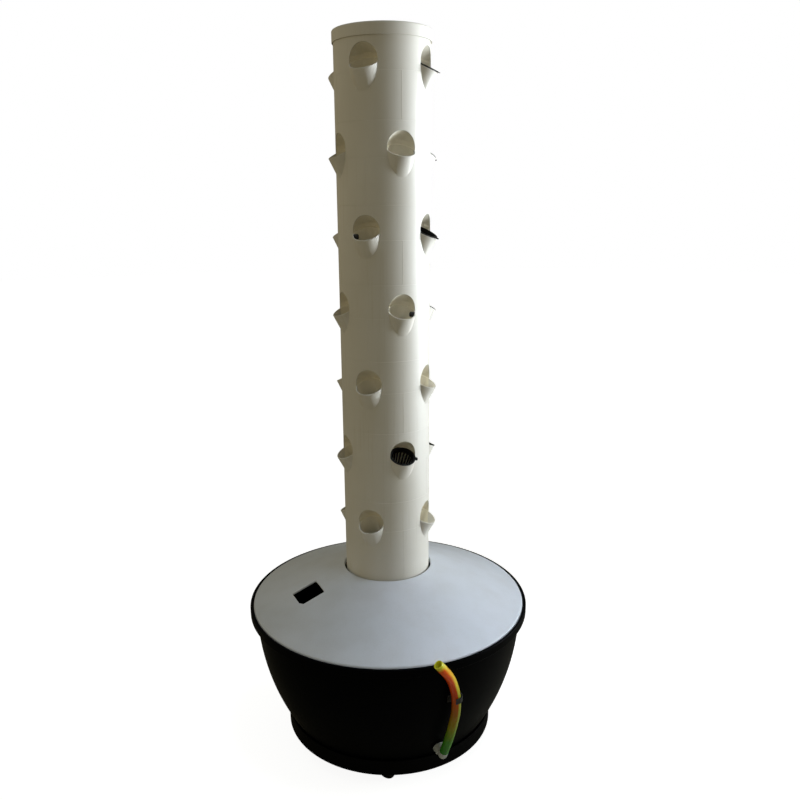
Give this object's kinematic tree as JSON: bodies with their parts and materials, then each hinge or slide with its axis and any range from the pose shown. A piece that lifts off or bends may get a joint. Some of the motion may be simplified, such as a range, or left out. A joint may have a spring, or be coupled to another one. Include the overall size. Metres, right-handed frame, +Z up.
{
  "type": "vertical planter tower",
  "caption": "Free-standing hydroponic column of stacked sections with tilted planting pockets, on a bowl-shaped water tank with a conical lid, side level hose and wheeled dish.",
  "frame": {"origin": "floor under the column's axis", "axes": "+Z up along the column, -Y to the front seen in the picture, +X to its right"},
  "size_m": [0.674, 0.6878, 1.6353],
  "materials": {
    "column_plastic": "satin moulded white",
    "lid_plastic": "satin moulded white",
    "pipe_plastic": "smooth extruded pipe",
    "tank_plastic": "fine matt black",
    "dish_plastic": "matt black",
    "wheel_plastic": "hard black tread",
    "cup_plastic": "matt black",
    "pump_plastic": "matt black",
    "impeller_plastic": "plain",
    "rubber": "moulded",
    "fitting_plastic": "milky moulded",
    "clip_plastic": "milky moulded",
    "hose_vinyl": "clear tinted vinyl",
    "steel": "plain"
  },
  "bodies": {
    "base": {"caster_dish": "dish_plastic", "tank": "tank_plastic", "column_stand": "column_plastic", "riser_pipe": "pipe_plastic", "pump_body": "pump_plastic", "pump_cover": "pump_plastic", "pump_shaft": "steel", "pump_outlet": "pump_plastic", "pump_feet": "rubber", "pump_gland": "rubber", "hose_gasket": "rubber", "hose_fitting": "fitting_plastic", "hose_locknut": "fitting_plastic", "hose_clip": "clip_plastic"},
    "lid": {"tank_lid": "lid_plastic"},
    "tray": {"water_tray": "column_plastic"},
    "cap": {"column_cap": "column_plastic"},
    "hose": {"hose_elbow": "fitting_plastic", "level_hose": "hose_vinyl"},
    "impeller": {"pump_impeller": "impeller_plastic"},
    "section_7": {"tower_section_7": "column_plastic"},
    "section_6": {"tower_section_6": "column_plastic"},
    "section_5": {"tower_section_5": "column_plastic"},
    "section_4": {"tower_section_4": "column_plastic"},
    "section_3": {"tower_section_3": "column_plastic"},
    "section_2": {"tower_section_2": "column_plastic"},
    "section_1": {"tower_section_1": "column_plastic"},
    "cup_1": {"net_cup_1": "cup_plastic"},
    "cup_2": {"net_cup_2": "cup_plastic"},
    "cup_3": {"net_cup_3": "cup_plastic"},
    "cup_4": {"net_cup_4": "cup_plastic"},
    "cup_5": {"net_cup_5": "cup_plastic"},
    "cup_6": {"net_cup_6": "cup_plastic"},
    "caster_1": {"caster_fork_1": "dish_plastic", "caster_axle_1": "steel"},
    "wheel_1": {"caster_wheel_1": "wheel_plastic"},
    "caster_2": {"caster_fork_2": "dish_plastic", "caster_axle_2": "steel"},
    "wheel_2": {"caster_wheel_2": "wheel_plastic"},
    "caster_3": {"caster_fork_3": "dish_plastic", "caster_axle_3": "steel"},
    "wheel_3": {"caster_wheel_3": "wheel_plastic"},
    "caster_4": {"caster_fork_4": "dish_plastic", "caster_axle_4": "steel"},
    "wheel_4": {"caster_wheel_4": "wheel_plastic"}
  },
  "joints": [
    {"name": "section_7_lift", "type": "slide", "parent": "base", "child": "section_7", "axis": [0, 0, 1], "range_m": [0, 0.06]},
    {"name": "section_6_lift", "type": "slide", "parent": "section_7", "child": "section_6", "axis": [0, 0, 1], "range_m": [0, 0.06]},
    {"name": "section_5_lift", "type": "slide", "parent": "section_6", "child": "section_5", "axis": [0, 0, 1], "range_m": [0, 0.06]},
    {"name": "section_4_lift", "type": "slide", "parent": "section_5", "child": "section_4", "axis": [0, 0, 1], "range_m": [0, 0.06]},
    {"name": "section_3_lift", "type": "slide", "parent": "section_4", "child": "section_3", "axis": [0, 0, 1], "range_m": [0, 0.06]},
    {"name": "section_2_lift", "type": "slide", "parent": "section_3", "child": "section_2", "axis": [0, 0, 1], "range_m": [0, 0.06]},
    {"name": "section_1_lift", "type": "slide", "parent": "section_2", "child": "section_1", "axis": [0, 0, 1], "range_m": [0, 0.06]},
    {"name": "tray_lift", "type": "slide", "parent": "section_1", "child": "tray", "axis": [0, 0, 1], "range_m": [0, 0.06]},
    {"name": "cap_lift", "type": "slide", "parent": "tray", "child": "cap", "axis": [0, 0, 1], "range_m": [0, 0.06]},
    {"name": "lid_lift", "type": "slide", "parent": "base", "child": "lid", "axis": [0, 0, 1], "range_m": [0, 0.08]},
    {"name": "cup_1_lift", "type": "slide", "parent": "section_1", "child": "cup_1", "axis": [0.4194, -0.1737, 0.891], "range_m": [0, 0.007]},
    {"name": "cup_2_lift", "type": "slide", "parent": "section_2", "child": "cup_2", "axis": [0.4194, 0.1737, 0.891], "range_m": [0, 0.007]},
    {"name": "cup_3_lift", "type": "slide", "parent": "section_3", "child": "cup_3", "axis": [0.4194, -0.1737, 0.891], "range_m": [0, 0.007]},
    {"name": "cup_4_lift", "type": "slide", "parent": "section_4", "child": "cup_4", "axis": [0.4194, 0.1737, 0.891], "range_m": [0, 0.007]},
    {"name": "cup_5_lift", "type": "slide", "parent": "section_6", "child": "cup_5", "axis": [0.1737, -0.4194, 0.891], "range_m": [0, 0.007]},
    {"name": "cup_6_lift", "type": "slide", "parent": "section_6", "child": "cup_6", "axis": [0.4194, 0.1737, 0.891], "range_m": [0, 0.007]},
    {"name": "hose_swing", "type": "hinge", "parent": "base", "child": "hose", "pos_m": [0.11929, -0.26421, 0.10652], "axis": [-0.3718, 0.8236, 0.4283], "range_deg": [0, 105]},
    {"name": "impeller_spin", "type": "hinge", "parent": "base", "child": "impeller", "pos_m": [0, -0.03, 0.1053], "axis": [0, 1, 0], "continuous": true},
    {"name": "caster_1_swivel", "type": "hinge", "parent": "base", "child": "caster_1", "pos_m": [-0.02091, -0.1989, 0.05], "axis": [0, 0, 1], "continuous": true},
    {"name": "wheel_1_spin", "type": "hinge", "parent": "caster_1", "child": "wheel_1", "pos_m": [-0.00563, -0.20636, 0.021], "axis": [0.4384, 0.8988, 0], "continuous": true},
    {"name": "caster_2_swivel", "type": "hinge", "parent": "base", "child": "caster_2", "pos_m": [0.1989, -0.02091, 0.05], "axis": [0, 0, 1], "continuous": true},
    {"name": "wheel_2_spin", "type": "hinge", "parent": "caster_2", "child": "wheel_2", "pos_m": [0.21586, -0.01972, 0.021], "axis": [-0.0698, 0.9976, 0], "continuous": true},
    {"name": "caster_3_swivel", "type": "hinge", "parent": "base", "child": "caster_3", "pos_m": [0.02091, 0.1989, 0.05], "axis": [0, 0, 1], "continuous": true},
    {"name": "wheel_3_spin", "type": "hinge", "parent": "caster_3", "child": "wheel_3", "pos_m": [0.03206, 0.21173, 0.021], "axis": [-0.7547, 0.6561, 0], "continuous": true},
    {"name": "caster_4_swivel", "type": "hinge", "parent": "base", "child": "caster_4", "pos_m": [-0.1989, 0.02091, 0.05], "axis": [0, 0, 1], "continuous": true},
    {"name": "wheel_4_spin", "type": "hinge", "parent": "caster_4", "child": "wheel_4", "pos_m": [-0.18362, 0.01345, 0.021], "axis": [0.4384, 0.8988, 0], "continuous": true}
  ]
}
